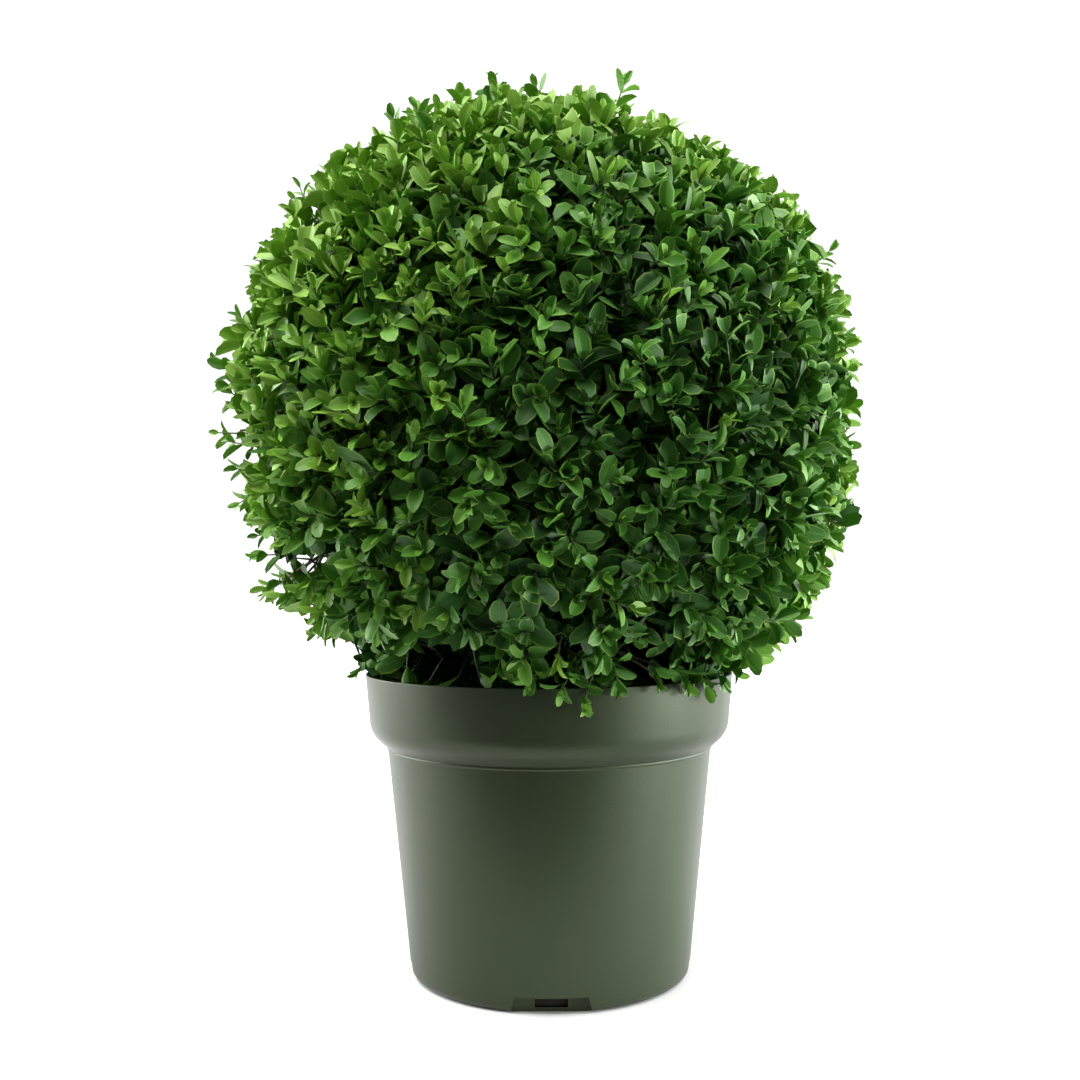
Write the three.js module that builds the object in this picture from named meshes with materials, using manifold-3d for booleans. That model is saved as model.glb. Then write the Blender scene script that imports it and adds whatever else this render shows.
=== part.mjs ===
// A clipped box ball (Buxus sempervirens) in a round nursery pot, in millimetres, +Z up.
// The origin is the middle of the pot's flat underside, and -Y is the side with the drain notch that shows in front.
import * as THREE from "three";
import { mergeVertices } from "three/addons/utils/BufferGeometryUtils.js";
import Module from "manifold-3d";

const wasm = await Module();
wasm.setup();

// ---------- driving dimensions ----------
const GAP = 0.3; // clearance where two pieces meet

const POT_HEIGHT = 187;
const POT_SIDES = 56;
const WALL = 1.8;
const FLOOR = 2.2;
const RIM_RADIUS = 115; // outside, at the lip
const COLLAR_FOOT = { radius: 112, z: 151 }; // outside corner above the shoulder
const BODY_TOP = { radius: 101.3, z: 141.3 }; // outside, where the shoulder meets the tapering body
const BASE_RADIUS = 86.8; // outside, where the body's line meets the ground

const NOTCHES = 4;
const NOTCH = { topWidth: 42, footWidth: 47, height: 10, backRadius: 79 };
const DRAIN = { width: 19, top: 7 };

const SOIL_EDGE_Z = 164; // compost level at the pot's wall
const SOIL_TOP_Z = 170; // flat patch that the stem stands on
const SOIL_TOP_RADIUS = 26;

const STEM_TOP_Z = 213;
const STEM_FLARE_RADIUS = 16;
const STEM_RADIUS = 11;
const STEM_TOP_RADIUS = 9;
const STEM_LEAN = 5; // how far the fork stands from the foot
const WHORLS = [
  { z: 188, turn: 20, rise: 24, length: 74, radius: 5.2 },
  { z: 198, turn: 80, rise: 46, length: 60, radius: 4.8 },
];
const BOUGHS_IN_WHORL = 3;
const LEADER_LENGTH = 46;
const BOUGH_TIP_SHARE = 0.55; // tip radius beside root radius

const BALL_CENTRE = new THREE.Vector3(-5, 0, 358);
const BALL_RADIUS = 195; // to the clipped leaf tips
const CORE_RADIUS = 162;
const CORE_DETAIL = 3;
const WELL = { radius: 66, top: 246 }; // the bare hollow that the stem forks in
const LOW_BULGE = { share: 0.085, elevation: -42, spread: 26 }; // the fuller belly below the middle
const SHOULDER = { share: 0.044, elevation: 61, spread: 24 }; // the slight flattening round the top
const LOWEST_TWIG = -60; // elevation in degrees; lower ones would stand in the pot

const MAIN_TWIGS = 103;
const TWIG = { width: 3.6, taper: 0.75 }; // the side of its square section at its root, and the tip's share of it
const TWIG_SUNK = 14; // how deep a twig's root lies in the core
const LEAF = { length: 40, width: 25, widest: 0.46, arch: 2, keel: 2.6, deepest: 0.36, rootOut: 0.8 };
const LEAF_PAIRS = [ // how far below the twig's tip, and how far the leaves lean off the twig
  { below: 5, splay: 44 },
  { below: 15, splay: 68 },
];

// Shoots that have outgrown the last clipping: azimuth and elevation in degrees, and the reach of their tips.
// They have one pair of smaller leaves each.
const STRAY_SIZE = 0.75;
const STRAY_SHOOTS = [
  [180, 7, 208], [186, -6, 207], [174, -22, 204], [184, -35, 216],
  [178, 40, 210], [176, 63, 208], [190, 82, 205], [-4, 38, 206],
  [3, 27, 211], [-2, 10, 206], [2, -20, 215], [-5, -34, 213],
  [64, 33, 207], [108, -12, 208], [74, -36, 211], [250, 12, 203],
];

const rad = THREE.MathUtils.degToRad;

// ---------- solids and meshes ----------
function solidOf(geometry) {
  const bare = geometry.clone().deleteAttribute("normal").deleteAttribute("uv");
  const merged = mergeVertices(bare, 1e-4);
  return new wasm.Manifold(
    new wasm.Mesh({
      numProp: 3,
      vertProperties: merged.attributes.position.array,
      triVerts: new Uint32Array(merged.index.array),
    }),
  );
}

function geometryOf(solid) {
  const mesh = solid.getMesh();
  const geometry = new THREE.BufferGeometry();
  geometry.setAttribute("position", new THREE.BufferAttribute(mesh.vertProperties, 3));
  geometry.setIndex(new THREE.BufferAttribute(mesh.triVerts, 1));
  return geometry.toNonIndexed();
}

function joined(solids) {
  return solids.reduce((whole, next) => whole.add(next));
}

// ---------- the pot ----------
// A path through corners [radius, z, rounding], for a lathe.
function roundedProfile(corners) {
  const at = corners.map(([r, z]) => new THREE.Vector2(r, z));
  const path = new THREE.Path().moveTo(at[0].x, at[0].y);
  for (let i = 1; i < at.length; i++) {
    const round = corners[i][2];
    if (!round) {
      path.lineTo(at[i].x, at[i].y);
      continue;
    }
    const before = at[i].clone().lerp(at[i - 1], round / at[i].distanceTo(at[i - 1]));
    const after = at[i].clone().lerp(at[i + 1], round / at[i].distanceTo(at[i + 1]));
    path.lineTo(before.x, before.y);
    path.quadraticCurveTo(at[i].x, at[i].y, after.x, after.y);
  }
  return path.getPoints(3);
}

function lathed(corners) {
  return new THREE.LatheGeometry(roundedProfile(corners), POT_SIDES).rotateX(Math.PI / 2);
}

const OUTSIDE = [
  [0, 0, 0],
  [BASE_RADIUS, 0, 7],
  [BODY_TOP.radius, BODY_TOP.z, 0],
  [COLLAR_FOOT.radius, COLLAR_FOOT.z, 7],
];
const LIP = [
  [RIM_RADIUS - 0.1, POT_HEIGHT - 0.5, 0],
  [RIM_RADIUS - 0.5, POT_HEIGHT, 0],
  [RIM_RADIUS - WALL + 0.5, POT_HEIGHT, 0],
  [RIM_RADIUS - WALL, POT_HEIGHT - 0.5, 0],
];
const INSIDE = [
  [COLLAR_FOOT.radius - WALL, COLLAR_FOOT.z + 1, 6],
  [BODY_TOP.radius - WALL, BODY_TOP.z + 1, 0],
  [BASE_RADIUS - WALL + 0.3, FLOOR, 5],
  [0, FLOOR, 0],
];

// A block behind the wall at the pot's foot, in front of the pot: width at its top and foot, and its z and radius.
function footBlock({ topWidth, footWidth, low, high, near, far }) {
  const outline = new THREE.Shape([
    new THREE.Vector2(-footWidth / 2, low),
    new THREE.Vector2(footWidth / 2, low),
    new THREE.Vector2(topWidth / 2, high),
    new THREE.Vector2(-topWidth / 2, high),
  ]);
  const depth = far - near;
  return new THREE.ExtrudeGeometry(outline, { depth, bevelEnabled: false })
    .rotateX(Math.PI / 2)
    .translate(0, -near, 0);
}

function aroundPot(make) {
  return Array.from({ length: NOTCHES }, (_, i) => solidOf(make().rotateZ((i * 2 * Math.PI) / NOTCHES)));
}

// The moulded pocket round each notch, grown by more for the hollow that the compost leaves for it.
function pockets(more) {
  return aroundPot(() =>
    footBlock({
      topWidth: NOTCH.topWidth + 2 * (WALL + more),
      footWidth: NOTCH.footWidth + 2 * (WALL + more),
      low: more ? FLOOR - 1 : 0,
      high: NOTCH.height + WALL + more,
      near: NOTCH.backRadius - WALL - more,
      far: RIM_RADIUS,
    }),
  );
}

function potSolid() {
  const outer = solidOf(lathed([...OUTSIDE, [RIM_RADIUS, POT_HEIGHT, 0], [0, POT_HEIGHT, 0]]));
  const shell = solidOf(
    lathed([...OUTSIDE, ...LIP, ...INSIDE]),
  );
  const notches = aroundPot(() =>
    footBlock({
      topWidth: NOTCH.topWidth,
      footWidth: NOTCH.footWidth + (NOTCH.footWidth - NOTCH.topWidth) / NOTCH.height,
      low: -1,
      high: NOTCH.height,
      near: NOTCH.backRadius,
      far: RIM_RADIUS,
    }),
  );
  const drains = aroundPot(() =>
    footBlock({
      topWidth: DRAIN.width,
      footWidth: DRAIN.width,
      low: FLOOR,
      high: DRAIN.top,
      near: NOTCH.backRadius - 2 * WALL,
      far: RIM_RADIUS,
    }),
  );
  const walls = joined([shell, ...pockets(0).map((pocket) => pocket.intersect(outer))]);
  return [...notches, ...drains].reduce((rest, cut) => rest.subtract(cut), walls);
}

function soilSolid() {
  const [collarFoot, bodyTop, base] = INSIDE;
  const fill = solidOf(
    lathed([
      [0, FLOOR + GAP, 0],
      [base[0] - GAP, FLOOR + GAP, base[2]],
      [bodyTop[0] - GAP, bodyTop[1] + GAP, 0],
      [collarFoot[0] - GAP, collarFoot[1] + GAP, collarFoot[2]],
      [collarFoot[0] + 0.5, SOIL_EDGE_Z, 0],
      [SOIL_TOP_RADIUS, SOIL_TOP_Z, 0],
      [0, SOIL_TOP_Z, 0],
    ]),
  );
  return pockets(GAP).reduce((rest, pocket) => rest.subtract(pocket), fill);
}

// ---------- the stem and its boughs ----------
// A closed round limb along a curve, its radius given by radiusAt(share of its length, angle round it). It is
// grown by this much every way for the clearance a neighbour keeps to it. Its sections are level if it stands.
function limb(curve, radiusAt, { sides, steps, grown, level }) {
  const geometry = new THREE.CylinderGeometry(1, 1, 1, sides, steps);
  const frames = curve.computeFrenetFrames(steps);
  const place = geometry.getAttribute("position");
  for (let i = 0; i < place.count; i++) {
    const share = place.getY(i) + 0.5;
    const step = Math.round(share * steps);
    const tangent = level ? new THREE.Vector3(0, 0, 1) : frames.tangents[step];
    const normal = level ? new THREE.Vector3(1, 0, 0) : frames.normals[step];
    const side = new THREE.Vector3().crossVectors(normal, tangent);
    const radius = radiusAt(share, Math.atan2(place.getZ(i), place.getX(i))) + grown;
    const past = step === 0 ? -grown : step === steps ? grown : 0;
    const point = curve
      .getPoint(share)
      .addScaledVector(tangent, past)
      .addScaledVector(normal, place.getX(i) * radius)
      .addScaledVector(side, place.getZ(i) * radius);
    place.setXYZ(i, point.x, point.y, point.z);
  }
  return solidOf(geometry);
}

const stemCurve = new THREE.LineCurve3(
  new THREE.Vector3(0, 0, SOIL_TOP_Z + GAP),
  new THREE.Vector3(-STEM_LEAN, 1, STEM_TOP_Z),
);

function stemSolid(grown = 0) {
  const radiusAt = (share, angle) => {
    const flare = Math.max(0, 1 - share / 0.4) ** 2;
    const lobes = 1 + 0.14 * Math.cos(3 * angle + 0.6) * flare;
    const plain = THREE.MathUtils.lerp(STEM_RADIUS, STEM_TOP_RADIUS, share);
    return (plain + (STEM_FLARE_RADIUS - STEM_RADIUS) * flare) * lobes;
  };
  return limb(stemCurve, radiusAt, { sides: 12, steps: 10, grown, level: true });
}

// Each bough leaves the stem's middle, turns up in one easy bend and ends inside the foliage.
function boughCurves() {
  const curves = [];
  WHORLS.forEach(({ z, turn, rise, length, radius }) => {
    for (let i = 0; i < BOUGHS_IN_WHORL; i++) {
      const azimuth = rad(turn + (i * 360) / BOUGHS_IN_WHORL);
      const out = new THREE.Vector3(Math.cos(azimuth), Math.sin(azimuth), 0);
      const root = stemCurve.getPoint((z - stemCurve.v1.z) / (STEM_TOP_Z - stemCurve.v1.z));
      const elbow = root
        .clone()
        .addScaledVector(out, 0.5 * length * Math.cos(rad(rise)))
        .add(new THREE.Vector3(0, 0, 0.5 * length * Math.sin(rad(rise)) * 0.8));
      const tip = root
        .clone()
        .addScaledVector(out, length * Math.cos(rad(rise)) * 0.95)
        .add(new THREE.Vector3(0, 0, length * Math.sin(rad(rise)) * 1.12));
      curves.push({ curve: new THREE.QuadraticBezierCurve3(root, elbow, tip), radius });
    }
  });
  return curves;
}

function leaderCurve() {
  const root = stemCurve.v2.clone().add(new THREE.Vector3(0, 0, GAP));
  const bend = root.clone().add(new THREE.Vector3(3, -4, LEADER_LENGTH / 2));
  const tip = root.clone().add(new THREE.Vector3(0, 2, LEADER_LENGTH));
  const curve = new THREE.QuadraticBezierCurve3(root, bend, tip);
  return { curve, radius: STEM_TOP_RADIUS - 2.5, level: true };
}

function boughSolid({ curve, radius, level = false }, grown = 0) {
  const radiusAt = (share) => radius * THREE.MathUtils.lerp(1, BOUGH_TIP_SHARE, share);
  return limb(curve, radiusAt, { sides: 8, steps: 6, grown, level });
}

// ---------- the foliage ----------
// A small seeded generator of numbers from 0 to 1.
function seeded(seed) {
  let state = seed >>> 0;
  return () => {
    state = (Math.imul(state, 1664525) + 1013904223) >>> 0;
    return state / 4294967296;
  };
}

function direction(azimuth, elevation) {
  return new THREE.Vector3(
    Math.cos(elevation) * Math.cos(azimuth),
    Math.cos(elevation) * Math.sin(azimuth),
    Math.sin(elevation),
  );
}

// How far the clipped outline lies from the ball's middle in this direction.
function outline(way) {
  const elevation = THREE.MathUtils.radToDeg(Math.asin(way.z));
  const belly = Math.exp(-(((elevation - LOW_BULGE.elevation) / LOW_BULGE.spread) ** 2));
  const flat = Math.exp(-(((elevation - SHOULDER.elevation) / SHOULDER.spread) ** 2));
  const waves = 0.008 * Math.sin(5 * way.x + 3 * way.z + 1) + 0.008 * Math.sin(6 * way.y - 4 * way.z);
  return BALL_RADIUS * (1 + LOW_BULGE.share * belly - SHOULDER.share * flat + waves);
}

// The main twigs lie evenly over the ball on a golden spiral, each a little out of place.
function mainTwigs() {
  const random = seeded(11);
  const twigs = [];
  const lowest = Math.sin(rad(LOWEST_TWIG));
  const turn = Math.PI * (3 - Math.sqrt(5));
  for (let i = 0; i < MAIN_TWIGS; i++) {
    const height = 1 - ((i + 0.5) / MAIN_TWIGS) * (1 - lowest);
    const elevation = Math.asin(height) + (random() - 0.5) * 0.08;
    const azimuth = i * turn + ((random() - 0.5) * 0.08) / Math.cos(elevation);
    const way = direction(azimuth, Math.min(elevation, Math.PI / 2));
    twigs.push({ way, reach: outline(way) * (0.985 + 0.03 * random()), lean: random(), roll: random() });
  }
  STRAY_SHOOTS.forEach(([azimuth, elevation, reach]) => {
    twigs.push({ way: direction(rad(azimuth), rad(elevation)), reach, lean: random(), roll: random(), stray: true });
  });
  return twigs;
}

// One leaf: a blade that arches over its widest line, with a keel below, from its root along the way it grows.
// upper is what its upper face looks to.
function leafBlade(root, along, upper, size) {
  const geometry = new THREE.SphereGeometry(1, 3, 2); // two ends, two edges and the keel
  const side = new THREE.Vector3().crossVectors(upper, along).normalize();
  const face = new THREE.Vector3().crossVectors(along, side);
  const place = geometry.getAttribute("position");
  for (let i = 0; i < place.count; i++) {
    const end = Math.round(place.getY(i));
    const edge = Math.round(place.getZ(i));
    const middle = edge ? [LEAF.widest, LEAF.arch] : [LEAF.deepest, -LEAF.keel];
    const [share, height] = end ? [(end + 1) / 2, 0] : middle;
    const point = root
      .clone()
      .addScaledVector(along, share * LEAF.length * size)
      .addScaledVector(side, end ? 0 : (edge * LEAF.width * size) / 2)
      .addScaledVector(face, height * size);
    place.setXYZ(i, point.x, point.y, point.z);
  }
  return geometry;
}

// True if a leaf keeps out of the pot's wall and mouth: no line between two of its corners comes near them.
function clearOfPot(geometry) {
  const place = geometry.getAttribute("position");
  const start = new THREE.Vector3();
  const end = new THREE.Vector3();
  for (let i = 0; i < place.count; i++) {
    for (let j = 0; j < i; j++) {
      for (const share of [0, 0.25, 0.5, 0.75]) {
        start.fromBufferAttribute(place, i).lerp(end.fromBufferAttribute(place, j), share);
        if (start.z < POT_HEIGHT + 1.5 && Math.hypot(start.x, start.y) < RIM_RADIUS + 1.5) return false;
      }
    }
  }
  return true;
}

// A twig that stands out of the core, with pairs of leaves that cross each other towards its tip.
function sprig({ way, reach, lean, roll, stray }) {
  const size = stray ? STRAY_SIZE : 1;
  const end = LEAF_PAIRS[0];
  const aside = LEAF.length * size * Math.sin(rad(end.splay));
  const ahead = LEAF.length * size * Math.cos(rad(end.splay));
  const tipRadius = Math.sqrt(reach ** 2 - aside ** 2) - ahead + end.below * size; // its last leaves end at the reach
  const across = Math.abs(way.z) > 0.999 ? new THREE.Vector3(1, 0, 0) : new THREE.Vector3(0, 0, 1).cross(way);
  across.normalize().applyAxisAngle(way, roll * 2 * Math.PI);
  const root = BALL_CENTRE.clone()
    .addScaledVector(way, CORE_RADIUS - TWIG_SUNK)
    .addScaledVector(across, (lean - 0.5) * TWIG_SUNK);
  const tip = BALL_CENTRE.clone().addScaledVector(way, tipRadius);
  const axis = tip.clone().sub(root).normalize();
  const first = across.clone().addScaledVector(axis, -across.dot(axis)).normalize();
  const second = new THREE.Vector3().crossVectors(axis, first);
  const solids = [squareTwig(root, tip, first, TWIG.width * size)];
  LEAF_PAIRS.slice(0, stray ? 1 : 2).forEach(({ below, splay: off }, pair) => {
    for (const hand of [-1, 1]) {
      const out = (pair % 2 ? second : first).clone().multiplyScalar(hand);
      const along = axis.clone().multiplyScalar(Math.cos(rad(off))).addScaledVector(out, Math.sin(rad(off)));
      const node = tip.clone().addScaledVector(axis, -below * size).addScaledVector(out, LEAF.rootOut * size);
      const leaf = leafBlade(node, along, axis, size);
      if (clearOfPot(leaf)) solids.push(solidOf(leaf));
    }
  });
  return solids;
}

// A straight twig of square section, whose flat sides face the leaves that grow from it.
function squareTwig(root, tip, facing, width) {
  const axis = tip.clone().sub(root).normalize();
  const geometry = new THREE.BoxGeometry(width, root.distanceTo(tip), width);
  const place = geometry.getAttribute("position");
  for (let i = 0; i < place.count; i++) {
    const taper = place.getY(i) > 0 ? TWIG.taper : 1;
    place.setXYZ(i, place.getX(i) * taper, place.getY(i), place.getZ(i) * taper);
  }
  const turned = new THREE.Matrix4()
    .makeBasis(facing, axis, new THREE.Vector3().crossVectors(facing, axis))
    .setPosition(root.clone().lerp(tip, 0.5));
  return solidOf(geometry.applyMatrix4(turned));
}

// The shaded inside of the ball, open below where the stem and boughs rise into it.
function coreSolid() {
  const ball = new THREE.IcosahedronGeometry(CORE_RADIUS, CORE_DETAIL);
  const place = ball.getAttribute("position");
  const point = new THREE.Vector3();
  for (let i = 0; i < place.count; i++) {
    point.fromBufferAttribute(place, i).normalize();
    point.multiplyScalar((outline(point) * CORE_RADIUS) / BALL_RADIUS).add(BALL_CENTRE);
    place.setXYZ(i, point.x, point.y, point.z);
  }
  const well = new THREE.LatheGeometry(
    new THREE.Path()
      .moveTo(0, POT_HEIGHT - 30)
      .lineTo(WELL.radius, POT_HEIGHT - 30)
      .lineTo(WELL.radius, POT_HEIGHT + 18)
      .quadraticCurveTo(0.85 * WELL.radius, WELL.top - 10, 0, WELL.top)
      .getPoints(4),
    16,
  ).rotateX(Math.PI / 2);
  return solidOf(ball).subtract(solidOf(well));
}

function foliageSolid(limbs) {
  const core = limbs.reduce((rest, cut) => rest.subtract(cut), coreSolid());
  return joined([core, ...mainTwigs().flatMap(sprig)]);
}

// ---------- the whole plant ----------
const potPlastic = new THREE.MeshStandardMaterial({ color: 0x5d6b55, roughness: 0.5, metalness: 0 });
const compost = new THREE.MeshStandardMaterial({ color: 0x1d1610, roughness: 0.95, metalness: 0 });
const bark = new THREE.MeshStandardMaterial({ color: 0x6f6350, roughness: 0.9, metalness: 0 });
const leafGreen = new THREE.MeshStandardMaterial({ color: 0x35611f, roughness: 0.55, metalness: 0 });

const plant = new THREE.Group();
function piece(name, solid, material) {
  const mesh = new THREE.Mesh(geometryOf(solid), material);
  mesh.geometry.computeVertexNormals();
  mesh.name = name;
  plant.add(mesh);
}

const leader = leaderCurve();
const boughs = boughCurves();
const stemGrown = stemSolid(GAP);
const limbsGrown = [...boughs.map((bough) => boughSolid(bough, GAP)), boughSolid(leader, GAP)];

piece("pot", potSolid(), potPlastic);
piece("compost", soilSolid(), compost);
piece("stem", stemSolid(), bark);
piece("leader", boughSolid(leader), bark);
boughs.forEach((bough, i) => piece(`bough_${i + 1}`, boughSolid(bough).subtract(stemGrown), bark));
piece("foliage_ball", foliageSolid(limbsGrown), leafGreen);

export default plant;
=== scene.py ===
"""A clipped box ball in a round nursery pot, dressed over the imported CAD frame. Lengths are in millimetres until a
mesh is made, in the CAD's own frame: +Z up, origin at the middle of the pot's flat underside, -Y towards the camera."""

from math import asin, atan2, cos, degrees, exp, hypot, pi, radians, sin, sqrt

import bmesh
import bpy
import numpy as np
from mathutils import Matrix, Vector


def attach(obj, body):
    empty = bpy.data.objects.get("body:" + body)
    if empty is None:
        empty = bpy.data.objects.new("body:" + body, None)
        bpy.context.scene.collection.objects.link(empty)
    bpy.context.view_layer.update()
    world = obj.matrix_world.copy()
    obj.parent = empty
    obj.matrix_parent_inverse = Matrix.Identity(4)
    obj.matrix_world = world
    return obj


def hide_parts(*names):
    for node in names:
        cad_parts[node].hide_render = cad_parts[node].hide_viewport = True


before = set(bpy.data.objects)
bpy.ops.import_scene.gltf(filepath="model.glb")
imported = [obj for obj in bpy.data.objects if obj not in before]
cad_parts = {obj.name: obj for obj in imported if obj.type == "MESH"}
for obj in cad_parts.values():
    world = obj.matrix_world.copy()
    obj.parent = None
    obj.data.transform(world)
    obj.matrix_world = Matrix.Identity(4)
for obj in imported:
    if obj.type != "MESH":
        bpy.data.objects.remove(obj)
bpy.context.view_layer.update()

MM = 0.001

# ---------- the CAD source's named sizes ----------
GAP = 0.3
POT_HEIGHT = 187
WALL = 1.8
FLOOR = 2.2
RIM_RADIUS = 115
COLLAR_FOOT = (112, 151)
BODY_TOP = (101.3, 141.3)
BASE_RADIUS = 86.8
NOTCHES = 4
NOTCH = {"top": 42, "foot": 47, "height": 10, "back": 79}
DRAIN = {"width": 19, "top": 7}
SOIL_EDGE_Z = 164
SOIL_TOP_Z = 170
SOIL_TOP_RADIUS = 26
STEM_TOP_Z = 213
STEM_FLARE_RADIUS = 16
STEM_RADIUS = 11
STEM_TOP_RADIUS = 9
STEM_LEAN = (-5, 1)  # from its foot to its top, in x and y
WHORLS = (
    {"z": 188, "turn": 20, "rise": 24, "length": 74, "radius": 5.2},
    {"z": 198, "turn": 80, "rise": 46, "length": 60, "radius": 4.8},
)
BOUGHS_IN_WHORL = 3
BOUGH_ELBOW = {"at": 0.5, "rise": 0.8}  # beside the whorl's length and rise
BOUGH_TIP = {"out": 0.95, "rise": 1.12}
BOUGH_TIP_SHARE = 0.55
LEADER_LENGTH = 46
LEADER_BEND = (3, -4)
LEADER_TIP = (0, 2)
LEADER_RADIUS = STEM_TOP_RADIUS - 2.5
BALL_CENTRE = np.array([-5.0, 0.0, 358.0])
BALL_RADIUS = 195
CORE_RADIUS = 162
LOW_BULGE = {"share": 0.085, "elevation": -42, "spread": 26}
SHOULDER = {"share": 0.044, "elevation": 61, "spread": 24}
WAVE = 0.008
LOWEST_TWIG = -60
MAIN_TWIGS = 103
TWIG_JITTER = 0.08
TWIG_SUNK = 14
LEAF_LENGTH = 40
FIRST_PAIR = {"below": 5, "splay": 44}
STRAY_SIZE = 0.75
STRAY_SHOOTS = (
    (180, 7, 208), (186, -6, 207), (174, -22, 204), (184, -35, 216),
    (178, 40, 210), (176, 63, 208), (190, 82, 205), (-4, 38, 206),
    (3, 27, 211), (-2, 10, 206), (2, -20, 215), (-5, -34, 213),
    (64, 33, 207), (108, -12, 208), (74, -36, 211), (250, 12, 203),
)

# ---------- the finer growth ----------
SHOOTS = 2000  # leafy shoot tips over the whole ball
SHOOT_JITTER = 0.06
LOW_TWIGS = 150  # over the pot's mouth
LEAF_PIECES = 5
VIEWPOINT = (-5.2, -822.0, 256.0)  # the camera
UP = np.array([0.0, 0.0, 1.0])
GOLDEN_TURN = pi * (3 - sqrt(5))
# Shoots that stand out past the outline: azimuth and elevation in degrees, then the reach.
LOOSE = (
    (181, -34, 218), (176, -38, 215), (188, -29, 208), (183, -46, 211), (192, -38, 208), (178, -25, 207),
    (186, -19, 206), (177, -12, 207), (184, 2, 205), (179, 16, 206), (183, 24, 202), (170, -33, 208),
    (181, 7, 213), (180, -7, 208), (176, 63, 214), (181, 42, 212), (182, 82, 214), (250, 89, 208), (5, 81, 203),
    (2, 37, 210), (-2, 27, 214), (3, 23, 210), (-4, 17, 206), (2, 12, 208), (-1, 6, 205), (0, -20, 214),
    (-3, -33, 218), (-2, -43, 222), (86, 79, 204), (120, 70, 205), (300, 60, 205), (240, 48, 206),
)
# Shoots that hang over the pot's rim: azimuth in degrees, then the height and the radius of the tip.
HANGING = (
    (-81, 179, 121), (-87, 187, 120), (-72, 188, 121), (-60, 189, 119), (-50, 187, 119), (-41, 184, 119),
    (-33, 186, 120), (-24, 190, 121), (186, 189, 119), (-96, 190, 118), (10, 194, 122),
    (40, 189, 121), (66, 188, 120), (95, 189, 121), (120, 190, 122), (148, 190, 121),
)
# Where sky shows between the shoots on the left: x, z and radius, as seen from the camera in the plane y = 0.
GAPS = (
    (-198, 338, 7), (-183, 266, 9), (-173, 251, 6), (-156, 259, 5), (-195, 281, 5), (-173, 225, 4), (-160, 213, 6),
    (-141, 199, 8), (-126, 198, 6), (-189, 324, 4), (-148, 476, 3), (-145, 258, 4),
)
GAPS_LEFT_OF = -110
# Where the shade over the pot's mouth shows between the hanging shoots in front of it, in the same way.
SHADED = ((-74, 196, 10), (-56, 194, 9), (-88, 194, 6), (50, 192, 9), (62, 191, 8), (12, 203, 4), (-40, 200, 4))
SHADED_IN_FRONT_OF = -30


# ---------- small helpers ----------
def seeded(seed):
    """The CAD source's generator of numbers from 0 to 1."""
    state = seed

    def draw():
        nonlocal state
        state = (state * 1664525 + 1013904223) & 0xFFFFFFFF
        return state / 4294967296

    return draw


def scatter(draw):
    """A random vector with parts from -0.5 to 0.5."""
    return np.array([draw() - 0.5, draw() - 0.5, draw() - 0.5])


def clamp(value, low=0, high=1):
    return max(low, min(high, value))


def unit(v):
    return v / np.linalg.norm(v)


def direction(azimuth, elevation):
    return np.array([cos(elevation) * cos(azimuth), cos(elevation) * sin(azimuth), sin(elevation)])


def turned(v, axis, angle):
    return v * cos(angle) + np.cross(axis, v) * sin(angle) + axis * np.dot(axis, v) * (1 - cos(angle))


def across_of(way):
    """A level direction square to this way."""
    if abs(way[2]) > 0.999:
        return np.array([1.0, 0.0, 0.0])
    return unit(np.cross(UP, way))


def bell(elevation, place):
    """1 at the place's elevation, falling off over its spread."""
    return exp(-(((elevation - place["elevation"]) / place["spread"]) ** 2))


def outline(way):
    """How far the clipped outline lies from the ball's middle in this direction."""
    elevation = degrees(asin(clamp(way[2], -1)))
    belly, flat = bell(elevation, LOW_BULGE), bell(elevation, SHOULDER)
    waves = WAVE * sin(5 * way[0] + 3 * way[2] + 1) + WAVE * sin(6 * way[1] - 4 * way[2])
    return BALL_RADIUS * (1 + LOW_BULGE["share"] * belly - SHOULDER["share"] * flat + waves)


def spiral_way(i, count, lowest, jitter, draw):
    """One of many ways spread evenly on a golden spiral, from the top down to the lowest elevation in degrees."""
    height = 1 - ((i + 0.5) / count) * (1 - sin(radians(lowest)))
    elevation = asin(height) + (draw() - 0.5) * jitter
    azimuth = i * GOLDEN_TURN + ((draw() - 0.5) * jitter) / max(0.05, cos(elevation))
    return direction(azimuth, elevation)


def joined(meshes):
    """The vertices and faces of several meshes as one."""
    verts, faces, count = [], [], 0
    for more_verts, more_faces in meshes:
        verts.append(more_verts)
        faces += [[i + count for i in face] for face in more_faces]
        count += len(more_verts)
    return np.concatenate(verts), faces


def link_object(name, data):
    obj = bpy.data.objects.new(name, data)
    bpy.context.scene.collection.objects.link(obj)
    return obj


def new_piece(name, verts, faces, materials, slot, stands_for=(), face_materials=None, smooth=True):
    """A mesh object from vertices, in millimetres, and faces, that rides on the plant's one body."""
    mesh = bpy.data.meshes.new(name)
    mesh.from_pydata((np.asarray(verts) * MM).tolist(), [], faces)
    for material in materials:
        mesh.materials.append(material)
    if face_materials is not None:
        mesh.polygons.foreach_set("material_index", np.asarray(face_materials, np.int32))
    mesh.polygons.foreach_set("use_smooth", np.full(len(mesh.polygons), smooth))
    mesh.update()
    obj = link_object(name, mesh)
    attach(obj, "root")
    if stands_for:
        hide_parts(*stands_for)


# ---------- materials ----------
def material(name, colour, roughness, **sockets):
    made = bpy.data.materials.new(name)
    made.use_nodes = True
    shader = made.node_tree.nodes["Principled BSDF"]
    shader.inputs["Base Color"].default_value = (*colour, 1)
    shader.inputs["Roughness"].default_value = roughness
    for socket, value in sockets.items():
        shader.inputs[socket.replace("_", " ")].default_value = value
    return made


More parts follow.
